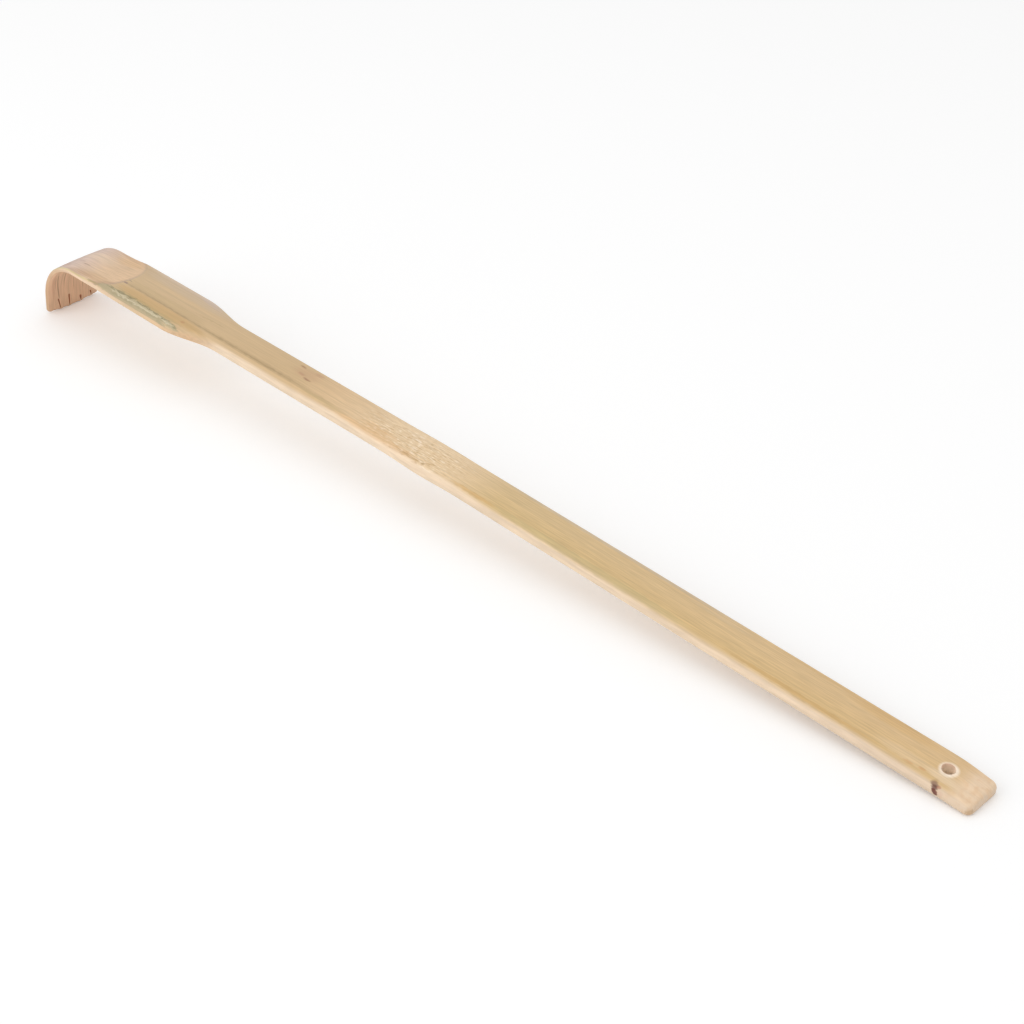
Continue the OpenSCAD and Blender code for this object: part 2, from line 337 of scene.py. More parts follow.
# the blank: edges rounded ring by ring, then a net of triangles over both faces
def makeBlank():
    verts = []
    faces = []
    grain = []
    facing = []
    sanding = []

    def addVert(s, y, up, side):
        skin = -crownFall(y, strip["skinRadius"])
        verts.append((-s / 1000, y / 1000, up / 1000))
        grain.extend((s, y, skin - up))
        facing.append(side)
        sanding.append(skin - topAt(s, y))
        return len(verts) - 1

    def addEdge(points, profile):
        inward = stepsInward(points)
        rings = []
        for inset, drop in profile:
            plan = []
            top = []
            bottom = []
            for (s, y, r), (stepS, stepY) in zip(points, inward):
                most = min(r, strip["mostRound"] * (topAt(s, y) - bottomAt(s)))
                under = min(most, strip["underRound"])
                ps = s + stepS * r * inset
                py = y + stepY * r * inset
                plan.append((ps, py))
                top.append(addVert(ps, py, topAt(ps, py) - drop * most, 1 - drop))
                bottom.append(addVert(ps, py, bottomAt(ps) + drop * under, drop - 1))
            rings.append((top, bottom))
        for i in range(len(points)):
            j = (i + 1) % len(points)
            top, bottom = rings[0]
            faces.append((bottom[i], bottom[j], top[j], top[i]))
            for (topA, bottomA), (topB, bottomB) in zip(rings, rings[1:]):
                faces.append((topA[i], topA[j], topB[j], topB[i]))
                faces.append((bottomA[j], bottomA[i], bottomB[i], bottomB[j]))
        return plan, rings[-1][0], rings[-1][1]

    outer, outerTop, outerBottom = addEdge(planOutline(), sandedEdge)
    hole, holeTop, holeBottom = addEdge(holeOutline(), softCountersink)
    loops = outer + hole
    tops = outerTop + holeTop
    bottoms = outerBottom + holeBottom

    # triangles inside the outline, from the edges over the net
    flat = [Vector((-s, y)) for s, y in loops + netPoints(loops, outer)]
    fence = [(i, (i + 1) % len(outer)) for i in range(len(outer))]
    fence += [(len(outer) + i, len(outer) + (i + 1) % len(hole)) for i in range(len(hole))]
    coords, _, triangles, sources, _, _ = geometry.delaunay_2d_cdt(flat, fence, [], 1, 1e-6)
    pairs = []
    roundHole = set()
    for at, (co, source) in enumerate(zip(coords, sources)):
        onEdge = [i for i in source if i < len(loops)]
        if onEdge:
            pairs.append((tops[onEdge[0]], bottoms[onEdge[0]]))
            if onEdge[0] >= len(outer):
                roundHole.add(at)
        else:
            s, y = -co.x, co.y
            pairs.append((addVert(s, y, topAt(s, y), 1.0), addVert(s, y, bottomAt(s), -1.0)))
    for triangle in triangles:
        # the hole itself stays open
        if not roundHole.issuperset(triangle):
            faces.append([pairs[i][0] for i in triangle])
            faces.append([pairs[i][1] for i in reversed(triangle)])

    mesh = bpy.data.meshes.new("bambooBlank")
    mesh.from_pydata(verts, [], faces)
    mesh.attributes.new("grain", "FLOAT_VECTOR", "POINT").data.foreach_set("vector", grain)
    mesh.attributes.new("facing", "FLOAT", "POINT").data.foreach_set("value", facing)
    mesh.attributes.new("sanding", "FLOAT", "POINT").data.foreach_set("value", sanding)
    mesh.polygons.foreach_set("use_smooth", [True] * len(mesh.polygons))
    print("blank cut:", len(verts), "points,", len(faces), "faces")
    return mesh


bendInputs = ("start", "length", "angle", "crest")


# one bend as a rule: a stretch of the strip turns down on an even radius, and what lies past it follows
def makeBendGroup():
    group = bpy.data.node_groups.new("bendOver", "GeometryNodeTree")
    group.interface.new_socket("strip", in_out="INPUT", socket_type="NodeSocketGeometry")
    for name in bendInputs:
        group.interface.new_socket(name, in_out="INPUT", socket_type="NodeSocketFloat")
    group.interface.new_socket("strip", in_out="OUTPUT", socket_type="NodeSocketGeometry")
    given = group.nodes.new("NodeGroupInput").outputs
    place = addNode(group, "GeometryNodeInputPosition")
    x, y, z = addNode(group, "ShaderNodeSeparateXYZ", {0: place}).node.outputs
    past = addNode(group, "ShaderNodeMath", {0: given["start"], 1: x}, operation="SUBTRACT")
    ahead = addNode(group, "ShaderNodeMath", {0: past, 1: 0.0}, operation="MAXIMUM")
    within = addNode(group, "ShaderNodeMath", {0: ahead, 1: given["length"]}, operation="MINIMUM")
    beyond = addNode(group, "ShaderNodeMath", {0: past, 1: within}, operation="SUBTRACT")
    radius = addNode(group, "ShaderNodeMath", {0: given["length"], 1: given["angle"]}, operation="DIVIDE")
    turn = addNode(group, "ShaderNodeMath", {0: within, 1: radius}, operation="DIVIDE")
    sine = addNode(group, "ShaderNodeMath", {0: turn}, operation="SINE")
    cosine = addNode(group, "ShaderNodeMath", {0: turn}, operation="COSINE")
    centre = addNode(group, "ShaderNodeMath", {0: given["crest"], 1: radius}, operation="SUBTRACT")
    arm = addNode(group, "ShaderNodeMath", {0: z, 1: centre}, operation="SUBTRACT")
    swing = addNode(group, "ShaderNodeMath", {0: arm, 1: sine}, operation="MULTIPLY")
    reach = addNode(group, "ShaderNodeMath", {0: beyond, 1: cosine, 2: swing}, operation="MULTIPLY_ADD")
    newX = addNode(group, "ShaderNodeMath", {0: given["start"], 1: reach}, operation="SUBTRACT")
    lift = addNode(group, "ShaderNodeMath", {0: arm, 1: cosine, 2: centre}, operation="MULTIPLY_ADD")
    drop = addNode(group, "ShaderNodeMath", {0: beyond, 1: sine}, operation="MULTIPLY")
    newZ = addNode(group, "ShaderNodeMath", {0: lift, 1: drop}, operation="SUBTRACT")
    moved = addNode(group, "ShaderNodeCombineXYZ", {0: newX, 1: y, 2: newZ})
    bent = addNode(group, "GeometryNodeSetPosition", {"Geometry": given["strip"], "Position": moved})
    addNode(group, "NodeGroupOutput", {0: bent})
    return group


# the whole strip: curl the claw, turn the lip over, turn a little at the culm node, then lay it down
def makeStripTree():
    tree = bpy.data.node_groups.new("shapeStrip", "GeometryNodeTree")
    tree.interface.new_socket("strip", in_out="INPUT", socket_type="NodeSocketGeometry")
    bends = [
        ("curlFrom", "clawLength", "clawCurl", "lipCrest"),
        ("bendFrom", "bendLength", "bendAngle", "lipCrest"),
        ("nodeFrom", "nodeLength", "nodeTurn", "skinCrest"),
    ]
    for name in dict.fromkeys(name for bend in bends for name in bend):
        tree.interface.new_socket(name, in_out="INPUT", socket_type="NodeSocketFloat")
    for name, kind in (("restPlace", "Vector"), ("restTurn", "Vector"), ("bamboo", "Material")):
        tree.interface.new_socket(name, in_out="INPUT", socket_type="NodeSocket" + kind)
    tree.interface.new_socket("strip", in_out="OUTPUT", socket_type="NodeSocketGeometry")
    given = tree.nodes.new("NodeGroupInput").outputs
    bendOver = makeBendGroup()
    shaped = given["strip"]
    for bend in bends:
        sockets = dict(zip(bendInputs, [given[name] for name in bend]))
        shaped = addNode(tree, "GeometryNodeGroup", {"strip": shaped, **sockets}, node_tree=bendOver)
    rotation = addNode(tree, "FunctionNodeEulerToRotation", {0: given["restTurn"]})
    laid = {"Geometry": shaped, "Translation": given["restPlace"], "Rotation": rotation}
    resting = addNode(tree, "GeometryNodeTransform", laid)
    whole = addNode(tree, "GeometryNodeRealizeInstances", {0: resting})
    finished = addNode(tree, "GeometryNodeSetMaterial", {"Geometry": whole, "Material": given["bamboo"]})
    addNode(tree, "NodeGroupOutput", {0: finished})
    return tree


# Bamboo: split, planed, sanded and left bare.
# The eye sees a tan skin side with long fibres, paler pinkish wood where it was cut, and a dull sheen.
bamboo = {
    # patterns in the grain: length and width in mm, then detail
    "clouds": {
        "fibre": (70.0, 0.6, 3.0),  # about 0.4 wide on real bamboo, drawn coarser to show
        "streak": (160.0, 2.4, 2.0),
        "dash": (2.8, 0.55, 1.0),  # fibre ends at the culm node
        "fleck": (9.0, 0.45, 1.0),  # short lines between the fibres
        "mottle": (2.2, 2.2, 2.0),  # cloudy patches on the sanded end
        "wander": (33.0, 6.5, 3.0),  # slow drift of lines and borders
    },
    "depthScale": 0.35,  # patterns change more slowly through the wall than across it
    # how a value changes: from here to there, and what it is at both
    "ranges": {
        # by the way a face looks, from 1 on top to -1 underneath
        "onTop": (0.15, 0.5, 0.0, 1.0),
        "onUnder": (-0.9, -0.4, 1.0, 0.0),
        "sawn": (0.3, 0.7, 1.0, 0.0),  # by its size, whichever way
        # by mm along
        "onGrip": (195.0, 220.0, 0.35, 0.0),
        "bareDepth": (20.0, 40.0, 0.85, 0.34),  # mm sanded off where no skin is left
        "inClaw": (425.0, 452.0, 0.0, 1.0),
        "atEnd": (5.0, 15.0, 0.36, 0.0),
        "smoother": (285.0, 310.0, 1.0, 0.4),
        "rubbed": (3.0, 22.0, 0.35, 1.0),
        # by mm across
        "nearShare": (-6.0, 1.5, 1.0, 0.0),
        "farSide": (0.0, 3.0, 0.0, 0.7),
        "nearBite": (-4.0, 3.0, 0.45, 0.22),
        # by mm sanded off
        "bite": (0.0, 0.1, 0.0, 1.0),
        "healed": (0.08, 0.55, 1.0, 0.0),
        # by mm below the skin
        "belowRim": (0.4, 2.4, 1.0, 0.0),
        # by a pattern, which lies mostly between 0.3 and 0.7
        "drift": (0.3, 0.7, -0.4, 0.4),  # mm
        "shiver": (0.3, 0.7, -0.3, 0.3),  # mm
        "cloudy": (0.48, 0.68, 0.0, 1.0),
        "pale": (0.57, 0.68, 0.0, 1.0),
        "brown": (0.32, 0.42, 0.7, 0.0),
        "broken": (0.36, 0.58, 0.45, 1.0),
        "patchy": (0.35, 0.65, 0.8, 1.0),
        "fleck": (0.3, 0.7, -0.075, 0.075),
        "fibre": (0.3, 0.7, -0.075, 0.075),
        "streak": (0.3, 0.7, 0.97, 1.03),
    },
    "ragged": {"skin": 0.9, "side": 1.1, "green": 2.4},  # how much the borders of marks shiver
    "sandDrift": 0.1,  # how much the borders of sanded and pale wood drift
    "paleDrift": 0.3,
    "bareFrom": 0.06,  # mm sanded off before wood shows
    "scoopFrom": 400.0,  # the bite of the scoop shows only past here
    "nearSide": -5.5,  # the near wall is past here, across
    # the skin pales at the culm node and darkens past it
    "skinTones": [(0, "#dab888"), (200, "#d3b686"), (220, "#e1c49b"), (250, "#e1c59e"), (290, "#d9b88d"),
                  (306, "#ceaf83"), (478, "#cbb08b")],
    # wood cut down the sides, ruddier at the shoulders and the claw
    "edgeTones": [(0, "#e4ccb1"), (130, "#eed5b7"), (345, "#ecd4b7"), (362, "#e0b992"), (392, "#dcbf99"),
                  (428, "#eed0b2"), (450, "#dfbb96"), (464, "#cca47e"), (478, "#d8b08a")],
    # how far up the near edge the wood is all pale, as a share of the round; above that it fades
    "paleReach": [(0, 0.4), (30, 0.3), (80, 0.2), (120, 0.1), (190, 0.12), (212, 0.25), (225, 0.6),
                  (248, 0.6), (264, 0.4), (280, 0.38), (296, 0.2), (330, 0.3), (346, 0.25), (358, -0.4),
                  (376, -0.3), (478, -0.2)],
    "paleReachBounds": [(-0.5, 1.0)],
    # wood sanded on top, at the end, in the scoop and on the lip
    "sandedTones": [(0, "#ecd0b0"), (400, "#dab892"), (426, "#dabb9a"), (440, "#d3bbac"), (449, "#b8a196"),
                    (458, "#c6b0a5"), (478, "#c8a78c")],
    "nearTone": "#c9a766",  # olive cast on the near half of the grip
    "innerWood": "#e3c6a4",
    "clawWood": "#dcb594",
    "cutShadeTone": "#c98a68",  # painted shade inside the saw cuts
    "endMottle": "#ddb283",
    "fibreEnds": {"pale": "#f8e5cc", "brown": "#bd935e"},
    "biteTone": "#9a8078",  # where the scoop meets the skin
    "skinSheen": 0.44,
    "cutSheen": 0.62,
    "fibreSheen": 0.12,  # how much the fibres vary it
    "relief": 0.12,  # mm
    "reliefStrength": 0.5,
    "ior": 1.5,
    # a dark streak that runs along the skin: along, across, half width, strength
    "streak": [(274, -4.8, 1.6, 0.0), (284, -4.8, 1.6, 0.1), (302, -4.8, 1.5, 0.24), (309, -4.8, 1.45, 0.38),
               (316, -4.85, 1.45, 0.5), (345, -4.85, 1.35, 0.47), (358, -4.9, 1.25, 0.42),
               (372, -4.85, 1.2, 0.44), (396, -4.75, 1.2, 0.42), (406, -4.75, 1.1, 0.32),
               (412, -4.7, 1.1, 0.0)],
    "streakBounds": [(-6.0, -3.0), (0.0, 2.0), (0.0, 1.0)],
    "streakTone": "#856c45",
    "streakLayers": [(1.0, 0.75), (0.4, 0.5)],  # soft band and dark core, as shares of width and strength
    # marks: along, across, half length, half width, lean, bluntness, softness, colour, strength
    "skinMarks": [
        (288, -5.6, 16, 1.6, 0.0, 2, 1.0, "#a8945f", 0.3),  # the streak's broad tail
        (385, -2.6, 27, 2.6, 0.0, 4, 1.0, "#b0976d", 0.38),
        (383, -7.3, 30, 2.7, 0.0, 4, 0.9, "#c19c65", 0.62),  # honey band
        (390, -9.3, 25, 1.2, 0.0, 4, 1.0, "#a8925f", 0.42),
        (362, -7.4, 9, 1.5, 0.0, 2, 1.0, "#b08d5c", 0.12),
        (368.8, -7.3, 1.6, 0.6, 0.0, 2, 0.9, "#b98457", 0.5),
        (382, 8.0, 30, 4.0, 0.0, 4, 1.0, "#cbb8a5", 0.3),
        (392.5, -11.5, 27, 1.95, 0.01, 6, 0.45, "#b2a381", 0.85),  # strip of green skin left on the head
        (370, -12.7, 7, 1.0, 0.08, 2, 0.9, "#d9bd94", 0.8),
        (421, -10.4, 5, 1.4, 0.0, 2, 1.0, "#b08f72", 0.3),
        (438, -12.4, 17, 0.6, 0.0, 4, 0.9, "#dacb90", 0.62),  # the last of the skin along the lip
        (421, -12.0, 5, 0.6, 0.0, 2, 0.9, "#94854e", 0.55),
        (408.3, -4.8, 1.4, 0.45, 0.0, 2, 0.8, "#7d6468", 0.6),  # dark nicks where the scoop starts
        (408, -2.7, 1.6, 0.45, 0.0, 2, 0.8, "#7d6a62", 0.5),
        (416.5, -9.6, 6, 1.6, -0.41, 2, 1.0, "#ae8b72", 0.4),
        (424, -8.8, 13, 3.0, 0.0, 2, 1.0, "#c49f78", 0.4),
        (422, 8.0, 11, 3.5, 0.0, 2, 1.0, "#d6ad7c", 0.35),
        (362, 0.7, 11, 0.4, -0.05, 2, 0.9, "#a58a62", 0.35),
        (305, 2.2, 9, 4.0, 0.0, 2, 1.0, "#bb8369", 0.22),  # blemish and its specks
        (310.4, 4.9, 2.2, 0.6, 0.0, 2, 1.0, "#98643f", 0.6),
        (307, 0.8, 2.4, 0.9, 0.0, 2, 1.0, "#ad7560", 0.4),
        (302.6, -0.5, 2.8, 0.6, 0.05, 2, 1.0, "#8a5538", 0.62),
        (301.5, 5.2, 3.2, 1.3, 0.0, 2, 1.0, "#bd8b6c", 0.4),
        (259, -3.8, 13, 2.5, 0.0, 2, 1.0, "#d8aa72", 0.35),  # clouds of the skin by the culm node
        (258, -6.5, 24, 1.6, 0.0, 4, 1.0, "#dcaf7a", 0.45),
        (242, 5.0, 30, 2.8, 0.0, 2, 1.0, "#efd4ae", 0.42),
        (233.3, -6.8, 1.1, 0.65, 0.0, 2, 1.0, "#97703f", 0.55),  # knot, crack and curl at the culm node
        (241, -6.9, 7.5, 0.5, 0.03, 2, 1.0, "#a8804a", 0.45),
        (231, -5.4, 3.4, 0.4, -0.4, 2, 0.9, "#b48d58", 0.42),
        (244.5, 4.3, 2.0, 0.4, 0.0, 2, 0.8, "#f6e2cc", 0.6),  # pale fibre ends
        (244, 1.6, 2.2, 0.45, 0.0, 2, 0.8, "#f6e2cc", 0.65),
        (241.4, -2.8, 2.0, 0.45, 0.0, 2, 0.8, "#f6e2cc", 0.65),
        (241.8, 0.5, 1.6, 0.4, 0.0, 2, 0.8, "#f6e2cc", 0.5),
        (240.5, -5.2, 1.5, 0.4, 0.0, 2, 0.8, "#f6e2cc", 0.5),
        (247.5, 2.8, 2.0, 0.4, 0.0, 2, 0.8, "#f6e2cc", 0.45),
        (238.8, 3.4, 1.0, 0.5, 0.0, 2, 0.9, "#a8804a", 0.35),
        (239.8, -3.9, 1.4, 0.4, 0.0, 2, 0.9, "#a8804a", 0.32),
        (238, 1.6, 1.2, 0.35, 0.0, 2, 0.9, "#a8804a", 0.3),
        (66, -6.3, 36, 0.9, 0.0, 2, 0.9, "#bb8c3c", 0.3),  # golden lines by the edges
        (208, -6.3, 14, 1.0, 0.0, 2, 0.9, "#c89c5c", 0.5),
        (54, 6.4, 40, 0.9, 0.0, 2, 0.9, "#bb8c3c", 0.2),
        (155, -6.3, 50, 1.7, 0.0, 4, 1.0, "#b4a87c", 0.36),  # greener towards the near edge
        (152, 7.0, 62, 1.6, 0.0, 4, 1.0, "#c7b49c", 0.55),  # and greyer at the far one
        (105, 4.6, 18, 1.5, 0.0, 2, 1.0, "#dcc29c", 0.35),
        (386, 11.4, 30, 1.9, 0.0, 4, 1.0, "#cdb8a8", 0.45),
        (372, 10.2, 10, 2.0, 0.15, 2, 1.0, "#c9b6ae", 0.4),
        (36, 5.0, 22, 3.2, 0.0, 2, 1.0, "#cfa35f", 0.38),
        (8, 6.0, 7, 2.0, 0.0, 2, 1.0, "#d9b27c", 0.3),
        (12.5, -4.2, 8, 2.3, 0.0, 2, 1.0, "#f2dabb", 0.5),  # paler by the hole
        (26, -4.2, 14, 2.6, 0.0, 2, 1.0, "#e8cca6", 0.4),
        (19.2, -5.6, 1.6, 0.5, 0.0, 2, 0.9, "#c98d55", 0.5),
        (24.2, -6.0, 2.4, 0.6, 0.0, 2, 0.9, "#c98d55", 0.35),
        (435, -4.6, 2.6, 0.5, 0.0, 2, 0.9, "#a3826f", 0.5),  # smudges on the lip
        (440, -3.6, 3, 0.5, 0.0, 2, 0.9, "#a3826f", 0.35),
        # this one is painted shadow of the lip, not a smudge
        (447, -8.6, 7, 2.4, 0.0, 2, 0.9, "#b48c74", 0.4),
        (430, -9.8, 9, 1.2, 0.0, 2, 0.9, "#b48c70", 0.35),
        (434, -11.2, 8, 1.6, 0.0, 2, 1.0, "#b58e6c", 0.35),
        (436, 3.0, 14, 4.2, 0.0, 2, 1.0, "#ecd2b4", 0.42),
        (423, 11.3, 13, 1.7, 0.0, 2, 1.0, "#b98f6c", 0.35),
    ],
    # ragged lines in the green skin: a dark border, a pale middle and a duller lower edge
    "greenMarks": [
        (383, -10.05, 18, 0.5, 0.045, 4, 0.8, "#6f6a45", 0.62),
        (405, -10.0, 10, 0.55, -0.04, 4, 0.8, "#6f6a45", 0.68),
        (390, -10.95, 22, 0.55, -0.006, 6, 0.9, "#dcd2b2", 0.6),
        (390, -11.9, 21, 0.4, 0.0, 6, 0.9, "#969070", 0.4),
    ],
    # on the near side these run down the wall: depth, along, half depth, half width, then as above
    "sideMarks": [
        (0.75, 13.5, 0.75, 1.8, -0.3, 2, 0.85, "#7d5848", 0.78),  # dark spot, fainter at the top
        (1.4, 13.0, 0.8, 1.5, -0.3, 2, 0.8, "#663c30", 0.85),
        (2.0, 13.0, 0.7, 1.0, -0.2, 2, 0.9, "#7d5750", 0.6),
        (2.9, 12.7, 1.15, 1.2, -0.15, 4, 0.6, "#66291c", 0.92),
        (0.9, 11.9, 0.5, 0.8, 0.0, 2, 0.9, "#b06a50", 0.6),
        (2.6, 11.0, 1.8, 1.6, 0.0, 2, 1.0, "#cfa58c", 0.3),
        (3.6, 0.8, 1.5, 1.3, 0.0, 2, 1.0, "#a97f45", 0.35),  # end grain at the corner
    ],
    "innerMarks": [
        (461, -11.9, 13, 2.2, 0.0, 4, 0.9, "#eec4a1", 0.85),  # paler wood along the near edge of the claw
        (464, -7.7, 9, 0.45, 0.08, 4, 0.9, "#7d5a46", 0.55),  # open grain inside the claw
        (462, -9.0, 6, 0.4, 0.05, 2, 0.9, "#a07a62", 0.4),
        (460, -4.6, 9, 0.3, 0.04, 2, 0.9, "#8a6248", 0.45),
        (464, 0.2, 8, 0.3, 0.02, 2, 0.9, "#8a6248", 0.4),
        (465, 5.2, 8, 0.35, 0.0, 2, 0.9, "#8a6248", 0.4),
        (463, -10.0, 11, 1.1, 0.0, 2, 0.9, "#b8826a", 0.35),
        (237, 0.0, 5.0, 9.0, 0.0, 2, 0.8, "#bd966a", 0.45),  # where the wall across the culm was planed off
    ],
    # round the hole, a pale sanded rim with painted light down the wall inside: shift along and across,
    # reach past its wall, softness, colour, strength
    "holeRimAndPaintedLight": [
        (-0.3, 1.5, 0.55, "#fae8d2", 0.95),  # pale sanded rim, and painted light down the wall inside the hole
        (0.2, 0.05, 0.15, "#cd9777", 0.52),  # browner just below the rim
    ],
    # where fibre ends show, and where painted shade goes on the walls of the saw cuts, as marks without a
    # colour
    "nodeZone": (244.0, 0.0, 34.0, 14.0, 0.0, 2.0, 1.0, 0.75),
    "cutShadeZone": (tipAt - 6.2, 0.0, 5.2, 12.2, 0.0, 6.0, 0.2, 0.9),
}
markInputs = ["atAlong", "atAcross", "halfLength", "halfWidth", "lean", "blunt", "soft", "strength"]


# a soft oval or blunt streak on the grain, as a share from 0 to its strength
def makeMarkGroup():
    group = bpy.data.node_groups.new("grainMark", "ShaderNodeTree")
    for name in ["along", "across", "shown"] + markInputs:
        group.interface.new_socket(name, in_out="INPUT", socket_type="NodeSocketFloat")
    group.interface.new_socket("share", in_out="OUTPUT", socket_type="NodeSocketFloat")
    given = group.nodes.new("NodeGroupInput").outputs
    off = addNode(group, "ShaderNodeMath", {0: given["along"], 1: given["atAlong"]}, operation="SUBTRACT")
    line = {0: off, 1: given["lean"], 2: given["atAcross"]}
    middle = addNode(group, "ShaderNodeMath", line, operation="MULTIPLY_ADD")
    aside = addNode(group, "ShaderNodeMath", {0: given["across"], 1: middle}, operation="SUBTRACT")
    u = addNode(group, "ShaderNodeMath", {0: off, 1: given["halfLength"]}, operation="DIVIDE")
    v = addNode(group, "ShaderNodeMath", {0: aside, 1: given["halfWidth"]}, operation="DIVIDE")
    size = addNode(group, "ShaderNodeMath", {0: u}, operation="ABSOLUTE")
    ends = addNode(group, "ShaderNodeMath", {0: size, 1: given["blunt"]}, operation="POWER")
    oval = addNode(group, "ShaderNodeMath", {0: v, 1: v, 2: ends}, operation="MULTIPLY_ADD")
    core = addNode(group, "ShaderNodeMath", {0: 1.0, 1: given["soft"]}, operation="SUBTRACT")
    fade = {0: oval, 1: core, 2: 1.0, 3: given["strength"], 4: 0.0}
    share = addNode(group, "ShaderNodeMapRange", fade, interpolation_type="SMOOTHSTEP")
    shown = addNode(group, "ShaderNodeMath", {0: share, 1: given["shown"]}, operation="MULTIPLY")
    addNode(group, "NodeGroupOutput", {0: shown})
    return group


def makeBamboo():
    material = bpy.data.materials.new("sandedBamboo")
    material.use_nodes = True
    tree = material.node_tree
    tree.nodes.clear()
    markGroup = makeMarkGroup()
    ranges = {name: dict(enumerate(row, 1)) for name, row in bamboo["ranges"].items()}
    smooth = {"interpolation_type": "SMOOTHSTEP"}
    grain = addNode(tree, "ShaderNodeAttribute", out=1, attribute_name="grain")
    facing = addNode(tree, "ShaderNodeAttribute", out=2, attribute_name="facing")
    sanding = addNode(tree, "ShaderNodeAttribute", out=2, attribute_name="sanding")
    along, across, deep = addNode(tree, "ShaderNodeSeparateXYZ", {0: grain}).node.outputs

    # the patterns and the borders that wander with them
    clouds = {}
    for name, (length, width, detail) in bamboo["clouds"].items():
        scale = (1 / length, 1 / width, bamboo["depthScale"] / width)
        spot = addNode(tree, "ShaderNodeVectorMath", {0: grain, 1: scale}, operation="MULTIPLY")
        clouds[name] = addNode(tree, "ShaderNodeTexNoise", {"Vector": spot, "Scale": 1.0, "Detail": detail})
    drift = addNode(tree, "ShaderNodeMapRange", {0: clouds["wander"], **ranges["drift"]})
    shiver = addNode(tree, "ShaderNodeMapRange", {0: clouds["dash"], **ranges["shiver"]})
    wavyAcross = addNode(tree, "ShaderNodeMath", {0: across, 1: drift}, operation="ADD")
    ragged = {}
    for name, axis in (("skin", across), ("side", along), ("green", across)):
        shaken = {0: shiver, 1: bamboo["ragged"][name], 2: axis}
        ragged[name] = addNode(tree, "ShaderNodeMath", shaken, operation="MULTIPLY_ADD")

    # which face this is
    onTop = addNode(tree, "ShaderNodeMapRange", {0: facing, **ranges["onTop"]}, **smooth)
    onUnder = addNode(tree, "ShaderNodeMapRange", {0: facing, **ranges["onUnder"]}, **smooth)
    onNearSide = addNode(tree, "ShaderNodeMath", {0: across, 1: bamboo["nearSide"]}, operation="LESS_THAN")

    # colours along the strip
    wholeLength = addNode(tree, "ShaderNodeMapRange", {0: along, 1: 0.0, 2: tipAt})
    tones = {}
    for name in ("skinTones", "edgeTones", "sandedTones"):
        ramp = addNode(tree, "ShaderNodeValToRGB", {0: wholeLength}).node
        stops = ramp.color_ramp.elements
        for at, _ in bamboo[name][1:-1]:
            stops.new(at / tipAt)
        for stop, (at, tone) in zip(stops, bamboo[name]):
            stop.position = min(at / tipAt, 1.0)
            stop.color = hexColour(tone)
        tones[name] = ramp.outputs[0]

    # values that change along the strip, a curve for each column of a table
    curves = []
    for name in ("streak", "paleReach"):
        rows = bamboo[name]
        first, last = rows[0][0], rows[-1][0]
        stations = [(row[0] - first) / (last - first) for row in rows]
        between = addNode(tree, "ShaderNodeMapRange", {0: along, 1: float(first), 2: float(last)})
        for column, (low, high) in enumerate(bamboo[name + "Bounds"], 1):
            curve = addNode(tree, "ShaderNodeFloatCurve", {"Value": between}).node
            points = curve.mapping.curves[0].points
            for at in stations[1:-1]:
                points.new(at, 0.5)
            for point, at, row in zip(points, stations, rows):
                point.location = (at, (row[column] - low) / (high - low))
            curve.mapping.update()
            curves.append(addNode(tree, "ShaderNodeMapRange", {0: curve.outputs[0], 3: low, 4: high}))
    streakLine, streakWidth, streakStrength, paleReach = curves

    # layers over the skin, each a share and its tone, from the bottom up
    layers = []
    onGrip = addNode(tree, "ShaderNodeMapRange", {0: along, **ranges["onGrip"]})
    nearShare = addNode(tree, "ShaderNodeMapRange", {0: wavyAcross, **ranges["nearShare"]})
    olive = addNode(tree, "ShaderNodeMath", {0: onGrip, 1: nearShare}, operation="MULTIPLY")
    layers.append((olive, hexColour(bamboo["nearTone"])))

    # sanded wood on top where the skin is gone, cut wood down the sides; the end was sanded more gently
    wavySanding = {0: drift, 1: bamboo["sandDrift"], 2: sanding}
    sandDepth = addNode(tree, "ShaderNodeMath", wavySanding, operation="MULTIPLY_ADD")
    bareDepth = addNode(tree, "ShaderNodeMapRange", {0: along, **ranges["bareDepth"]})
    sandEnds = {0: sandDepth, 1: bamboo["bareFrom"], 2: bareDepth}
    sanded = addNode(tree, "ShaderNodeMapRange", sandEnds, **smooth)
    layers.append((sanded, tones["sandedTones"]))
    farSide = addNode(tree, "ShaderNodeMapRange", {0: across, **ranges["farSide"]})
    wavyPale = {0: drift, 1: bamboo["paleDrift"], 2: paleReach}
    wavyReach = addNode(tree, "ShaderNodeMath", wavyPale, operation="MULTIPLY_ADD")
    allPale = addNode(tree, "ShaderNodeMath", {0: wavyReach, 1: farSide}, operation="SUBTRACT")
    onEdge = addNode(tree, "ShaderNodeMapRange", {0: facing, 1: allPale, 2: 1.0, 3: 1.0, 4: 0.0}, **smooth)
    layers.append((onEdge, tones["edgeTones"]))
    inClaw = addNode(tree, "ShaderNodeMapRange", {0: along, **ranges["inClaw"]}, **smooth)
    innerMix = {0: inClaw, 6: hexColour(bamboo["innerWood"]), 7: hexColour(bamboo["clawWood"])}
    inner = addNode(tree, "ShaderNodeMix", innerMix, out=2, data_type="RGBA")
    layers.append((onUnder, inner))

    # the sanded end is cloudy
    atEnd = addNode(tree, "ShaderNodeMapRange", {0: along, **ranges["atEnd"]})
    cloudy = addNode(tree, "ShaderNodeMapRange", {0: clouds["mottle"], **ranges["cloudy"]})
    endShare = addNode(tree, "ShaderNodeMath", {0: atEnd, 1: cloudy}, operation="MULTIPLY")
    layers.append((endShare, hexColour(bamboo["endMottle"])))

